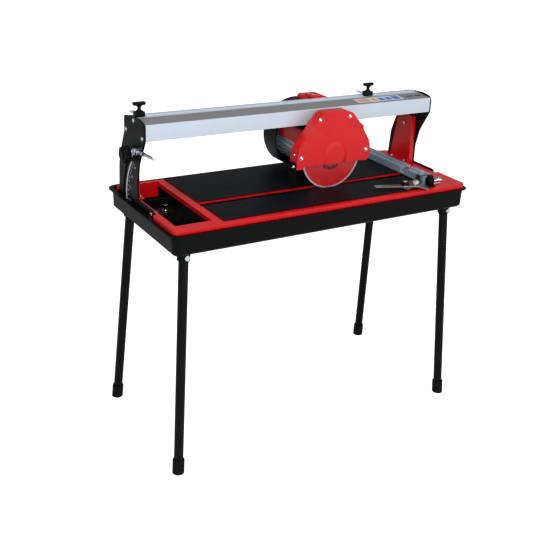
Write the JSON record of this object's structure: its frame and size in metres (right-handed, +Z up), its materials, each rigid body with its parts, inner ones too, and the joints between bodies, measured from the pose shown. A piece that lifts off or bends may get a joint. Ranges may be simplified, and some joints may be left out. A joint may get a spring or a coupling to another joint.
{
  "type": "tile cutter",
  "caption": "Bridge tile cutter on four splayed legs: water tray, coated table, guide rail that tilts for mitres, sliding motor head with guarded blade, stops.",
  "frame": {"origin": "on the floor, at the middle of the four feet", "axes": "+X along the guide rail to the operator's right, +Y away from the operator, +Z up"},
  "size_m": [1.0152, 0.4846, 0.9836],
  "materials": {
    "table_frame": "gloss red powder coat",
    "table_plate_back": "dark non-slip coating on steel",
    "table_plate_front": "dark non-slip coating on steel",
    "water_tray": "satin black powder coat",
    "leg_front_left": "satin black powder coat",
    "leg_front_right": "satin black powder coat",
    "leg_back_left": "satin black powder coat",
    "leg_back_right": "satin black powder coat",
    "foot_front_left": "moulded black rubber",
    "foot_front_right": "moulded black rubber",
    "foot_back_left": "moulded black rubber",
    "foot_back_right": "moulded black rubber",
    "leg_bolt_front_left": "bright plated",
    "leg_bolt_front_right": "bright plated",
    "leg_bolt_back_left": "bright plated",
    "leg_bolt_back_right": "bright plated",
    "pump_body": "moulded black plastic",
    "pump_nozzle": "bright plated",
    "drain_plug": "moulded black rubber",
    "bracket_left": "gloss red powder coat",
    "bracket_right": "gloss red powder coat",
    "pivot_bolt_left": "bright plated",
    "pivot_bolt_right": "bright plated",
    "stop_rail": "extruded, satin anodised",
    "stop_rail_clamp": "moulded black plastic",
    "cut_pointer": "red moulded plastic",
    "angle_stop_slide": "ground steel",
    "slide_knob": "bright plated",
    "angle_stop_arm": "ground steel",
    "angle_stop_knob": "bright plated",
    "tilt_knob_left": "moulded black plastic",
    "tilt_knob_right": "moulded black plastic",
    "arm_left": "satin black powder coat",
    "arm_right": "satin black powder coat",
    "guide_rail": "extruded, satin anodised",
    "angle_scale": "white scale on a thin strip",
    "stop_left": "moulded black plastic",
    "stop_left_knob": "moulded black plastic",
    "stop_right": "moulded black plastic",
    "stop_right_knob": "moulded black plastic",
    "lock_lever": "bright plated",
    "carriage_truck": "satin black powder coat",
    "wheel_front_left": "ground steel",
    "wheel_front_right": "ground steel",
    "wheel_back_left": "ground steel",
    "wheel_back_right": "ground steel",
    "guard_shell": "gloss red powder coat",
    "guard_cover": "gloss red powder coat",
    "splash_flap": "moulded black rubber",
    "motor_body": "cast, as moulded",
    "carriage_housing": "gloss red powder coat",
    "rear_cover": "moulded black plastic",
    "switch_box": "moulded black plastic",
    "button_on": "green push button",
    "button_off": "red moulded plastic",
    "blade": "gloss red powder coat",
    "inner_flange": "ground steel",
    "outer_flange": "ground steel",
    "spindle_nut": "bright plated",
    "motor_spindle": "ground steel"
  },
  "bodies": {
    "stand": {"table_frame": "table_frame", "table_plate_back": "table_plate_back", "table_plate_front": "table_plate_front", "water_tray": "water_tray", "leg_front_left": "leg_front_left", "leg_front_right": "leg_front_right", "leg_back_left": "leg_back_left", "leg_back_right": "leg_back_right", "foot_front_left": "foot_front_left", "foot_front_right": "foot_front_right", "foot_back_left": "foot_back_left", "foot_back_right": "foot_back_right", "leg_bolt_front_left": "leg_bolt_front_left", "leg_bolt_front_right": "leg_bolt_front_right", "leg_bolt_back_left": "leg_bolt_back_left", "leg_bolt_back_right": "leg_bolt_back_right", "pump_body": "pump_body", "pump_nozzle": "pump_nozzle", "drain_plug": "drain_plug", "bracket_left": "bracket_left", "bracket_right": "bracket_right", "pivot_bolt_left": "pivot_bolt_left", "pivot_bolt_right": "pivot_bolt_right", "stop_rail": "stop_rail", "stop_rail_clamp": "stop_rail_clamp", "cut_pointer": "cut_pointer"},
    "angle_slide": {"angle_stop_slide": "angle_stop_slide"},
    "slide_lock": {"slide_knob": "slide_knob"},
    "angle_arm": {"angle_stop_arm": "angle_stop_arm"},
    "angle_lock": {"angle_stop_knob": "angle_stop_knob"},
    "clamp_left": {"tilt_knob_left": "tilt_knob_left"},
    "clamp_right": {"tilt_knob_right": "tilt_knob_right"},
    "head": {"arm_left": "arm_left", "arm_right": "arm_right", "guide_rail": "guide_rail", "angle_scale": "angle_scale"},
    "stop_block_left": {"stop_left": "stop_left"},
    "stop_block_right": {"stop_right": "stop_right"},
    "stop_turn_left": {"stop_left_knob": "stop_left_knob"},
    "stop_turn_right": {"stop_right_knob": "stop_right_knob"},
    "lever": {"lock_lever": "lock_lever"},
    "carriage": {"carriage_truck": "carriage_truck", "guard_shell": "guard_shell", "guard_cover": "guard_cover", "splash_flap": "splash_flap", "motor_body": "motor_body", "carriage_housing": "carriage_housing", "rear_cover": "rear_cover", "switch_box": "switch_box"},
    "wheel_body_front_left": {"wheel_front_left": "wheel_front_left"},
    "wheel_body_front_right": {"wheel_front_right": "wheel_front_right"},
    "wheel_body_back_left": {"wheel_back_left": "wheel_back_left"},
    "wheel_body_back_right": {"wheel_back_right": "wheel_back_right"},
    "on_button": {"button_on": "button_on"},
    "off_button": {"button_off": "button_off"},
    "cutter": {"blade": "blade", "inner_flange": "inner_flange", "outer_flange": "outer_flange", "spindle_nut": "spindle_nut", "motor_spindle": "motor_spindle"}
  },
  "joints": [
    {"name": "head_tilt", "type": "hinge", "parent": "stand", "child": "head", "pos_m": [0, -0.06, 0.7128], "axis": [1, 0, 0], "range_deg": [0, 45]},
    {"name": "carriage_slide", "type": "slide", "parent": "head", "child": "carriage", "axis": [1, 0, 0], "range_m": [-0.385, 0.148]},
    {"name": "wheel_front_left_turn", "type": "hinge", "parent": "carriage", "child": "wheel_body_front_left", "pos_m": [0.035, 0.047, 0.9138], "axis": [0, 1, 0], "continuous": true},
    {"name": "wheel_front_right_turn", "type": "hinge", "parent": "carriage", "child": "wheel_body_front_right", "pos_m": [0.135, 0.047, 0.9138], "axis": [0, 1, 0], "continuous": true},
    {"name": "wheel_back_left_turn", "type": "hinge", "parent": "carriage", "child": "wheel_body_back_left", "pos_m": [0.035, 0.047, 0.9138], "axis": [0, 1, 0], "continuous": true},
    {"name": "wheel_back_right_turn", "type": "hinge", "parent": "carriage", "child": "wheel_body_back_right", "pos_m": [0.135, 0.047, 0.9138], "axis": [0, 1, 0], "continuous": true},
    {"name": "blade_spin", "type": "hinge", "parent": "carriage", "child": "cutter", "pos_m": [0.085, -0.06, 0.8138], "axis": [0, 1, 0], "continuous": true},
    {"name": "stop_left_slide", "type": "slide", "parent": "head", "child": "stop_block_left", "axis": [1, 0, 0], "range_m": [0, 0.1]},
    {"name": "stop_right_slide", "type": "slide", "parent": "head", "child": "stop_block_right", "axis": [1, 0, 0], "range_m": [-0.1, 0.15]},
    {"name": "stop_left_screw", "type": "hinge", "parent": "stop_block_left", "child": "stop_turn_left", "pos_m": [-0.4595, 0.052, 0.9584], "axis": [0, 0, 1], "range_deg": [0, 360]},
    {"name": "stop_right_screw", "type": "hinge", "parent": "stop_block_right", "child": "stop_turn_right", "pos_m": [0.282, 0.052, 0.9584], "axis": [0, 0, 1], "range_deg": [0, 360]},
    {"name": "tilt_clamp_left", "type": "hinge", "parent": "stand", "child": "clamp_left", "pos_m": [-0.4773, 0.06869, 0.84149], "axis": [-1, 0, 0], "range_deg": [0, 360]},
    {"name": "tilt_clamp_right", "type": "hinge", "parent": "stand", "child": "clamp_right", "pos_m": [0.4773, 0.06869, 0.84149], "axis": [1, 0, 0], "range_deg": [0, 360]},
    {"name": "lock_lever_turn", "type": "hinge", "parent": "head", "child": "lever", "pos_m": [-0.4773, 0.015, 0.8633], "axis": [1, 0, 0], "range_deg": [-40, 40]},
    {"name": "button_on_press", "type": "slide", "parent": "carriage", "child": "on_button", "axis": [-1, 0, 0], "range_m": [0, 0.003], "stiffness_N_per_m": 250},
    {"name": "button_off_press", "type": "slide", "parent": "carriage", "child": "off_button", "axis": [-1, 0, 0], "range_m": [0, 0.003], "stiffness_N_per_m": 250},
    {"name": "angle_stop_travel", "type": "slide", "parent": "stand", "child": "angle_slide", "axis": [0, 1, 0], "range_m": [-0.005, 0.035]},
    {"name": "angle_stop_lock", "type": "hinge", "parent": "angle_slide", "child": "slide_lock", "pos_m": [0.356, -0.148, 0.7431], "axis": [0, 0, 1], "range_deg": [0, 360]},
    {"name": "angle_arm_swing", "type": "hinge", "parent": "angle_slide", "child": "angle_arm", "pos_m": [0.305, -0.185, 0.7231], "axis": [0, 0, 1], "range_deg": [-30, 45]},
    {"name": "angle_arm_screw", "type": "hinge", "parent": "angle_arm", "child": "angle_lock", "pos_m": [0.305, -0.185, 0.7231], "axis": [0, 0, 1], "range_deg": [0, 360]}
  ],
  "couplings": [
    {"joint": "wheel_front_left_turn", "follows": "carriage_slide", "rad_per_m": 66.667},
    {"joint": "wheel_front_right_turn", "follows": "carriage_slide", "rad_per_m": 66.667},
    {"joint": "wheel_back_left_turn", "follows": "carriage_slide", "rad_per_m": 66.667},
    {"joint": "wheel_back_right_turn", "follows": "carriage_slide", "rad_per_m": 66.667}
  ]
}
